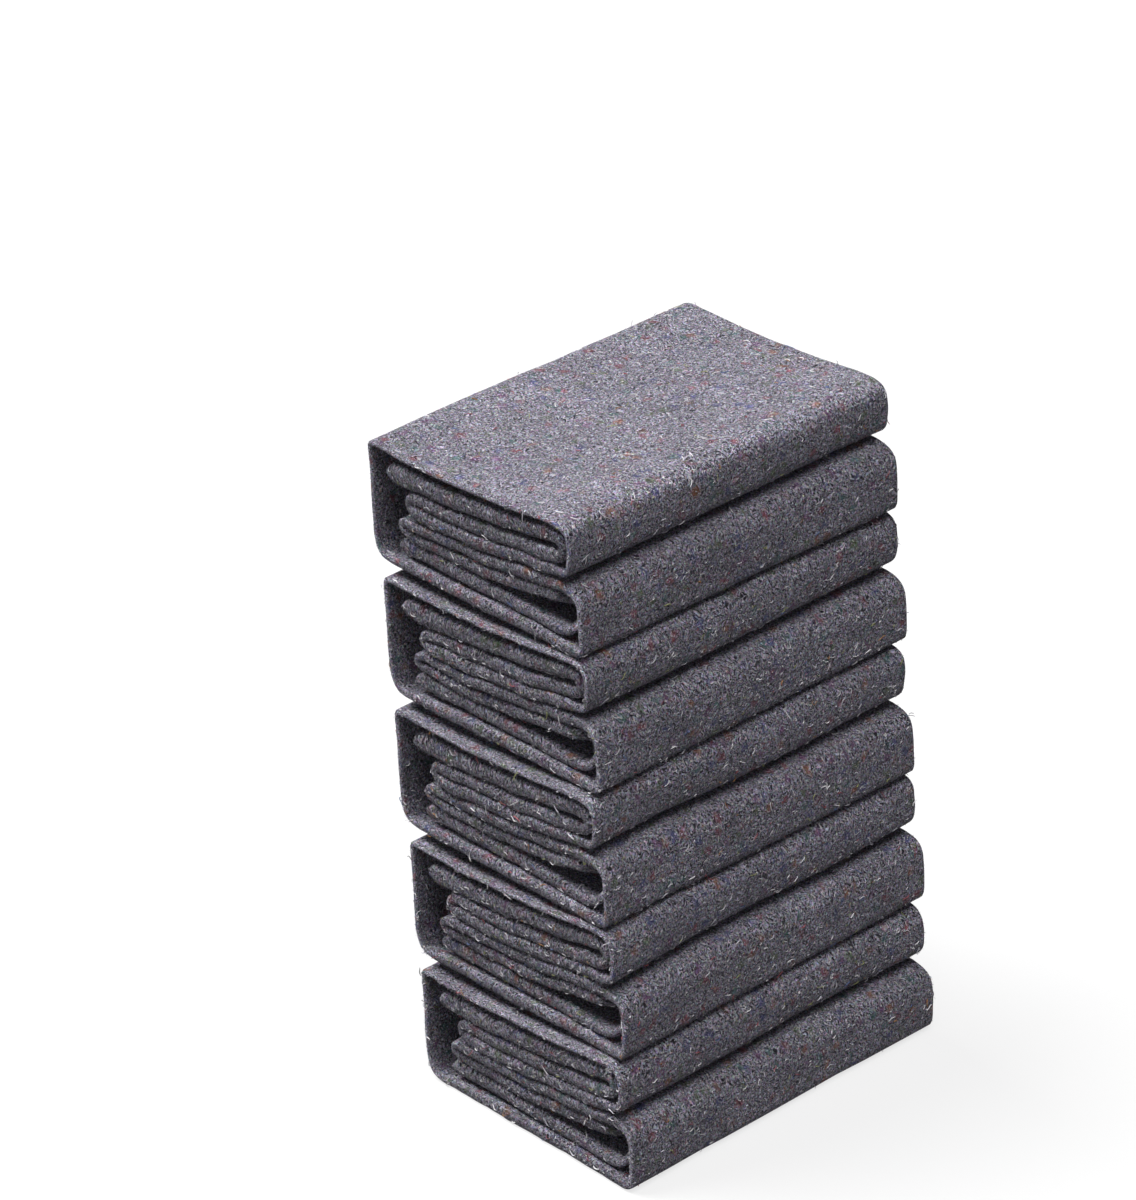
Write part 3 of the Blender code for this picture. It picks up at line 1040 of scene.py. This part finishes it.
# %% The floor
FLOOR_WIDTH, FLOOR_HEIGHT = 30.0, -0.0003  # just under the lowest blanket
FLOOR_PALE, FLOOR_PALER, FLOOR_PATCH = (0.20, 0.20, 0.20), (0.21, 0.21, 0.21), 0.8
FLOOR_FINISH = {"Emission Color": (1.0, 1.0, 1.0, 1.0), "Emission Strength": 0.74,
                "Roughness": 0.9, "Specular IOR Level": 0.0}
deselect_all()
bpy.ops.mesh.primitive_plane_add(size=FLOOR_WIDTH, location=(0.0, 0.0, FLOOR_HEIGHT))
floor = bpy.context.object
floor.name = "studio_floor"
pale_floor, floor_shader = new_material("pale_floor", FLOOR_FINISH)
floor_place = Wire.node("ShaderNodeTexCoord", None, None, 3)
patches = noise(floor_place, FLOOR_PATCH, dimensions="3D")
plug(floor_shader, "Base Color", mixed(patches, (*FLOOR_PALE, 1), (*FLOOR_PALER, 1)))
floor.data.materials.append(pale_floor)
floor.visible_diffuse = False
print("the floor is", floor.dimensions.x, "m wide")

# %% The light
# name, where it comes from, strength, width in degrees
SUNS = (("side_sun", (-0.55, -0.24, 1.0), 3.85, 34), ("right_sun", (0.34, -0.13, 1.0), 1.9, 32))
FILL_PLACE, FILL_AIM = Vector((1.6, -3.6, 1.0)), Vector((0, 0, 0.3))
FILL_ENERGY, FILL_SIZE = 12.0, 2.0
SKY_COLOUR, SKY_STRENGTH = (0.98, 0.96, 1.0, 1.0), 0.12


def add_light(name, kind, way, place=(0.0, 0.0, 0.0)):
    """A light that comes from the given way. Its place matters only to a lamp."""
    deselect_all()
    turned = way.to_track_quat("Z", "Y").to_euler()
    bpy.ops.object.light_add(type=kind, rotation=turned, location=place)
    bpy.context.object.name = name
    return bpy.context.object.data


for name, way, energy, angle in SUNS:
    sun = add_light(name, "SUN", Vector(way))
    sun.energy, sun.angle = energy, math.radians(angle)
fill = add_light("front_fill", "AREA", FILL_PLACE - FILL_AIM, FILL_PLACE)
fill.energy, fill.size = FILL_ENERGY, FILL_SIZE
sky = bpy.context.scene.world or bpy.data.worlds.new("studio_sky")
bpy.context.scene.world = sky
sky.use_nodes = True
backdrop = sky.node_tree.nodes["Background"]
backdrop.inputs["Color"].default_value = SKY_COLOUR
backdrop.inputs["Strength"].default_value = SKY_STRENGTH
bpy.context.scene.view_settings.view_transform = "Standard"
print("suns and sky are set")

# %% The camera
EYE = Vector((3.3389, -3.1197, 2.9903))
AZIMUTH, ELEVATION, ROLL = math.radians(47.80), math.radians(29.46), math.radians(-1.48)
LENS, SENSOR_WIDTH = 200.0, 36.0
away = Vector((math.sin(AZIMUTH) * math.cos(ELEVATION), -math.cos(AZIMUTH) * math.cos(ELEVATION),
               math.sin(ELEVATION)))
right = Vector((math.cos(AZIMUTH), math.sin(AZIMUTH), 0.0))
upward = away.cross(right)
right, upward = (right * math.cos(ROLL) + upward * math.sin(ROLL),
                 upward * math.cos(ROLL) - right * math.sin(ROLL))
deselect_all()
bpy.ops.object.camera_add(location=EYE)
camera = bpy.context.object
camera.rotation_euler = Matrix((right, upward, away)).transposed().to_euler()
camera.data.lens, camera.data.sensor_width = LENS, SENSOR_WIDTH
camera.data.clip_start, camera.data.clip_end = 0.1, 60.0
bpy.context.scene.camera = camera
print("camera at", [round(value, 2) for value in EYE])
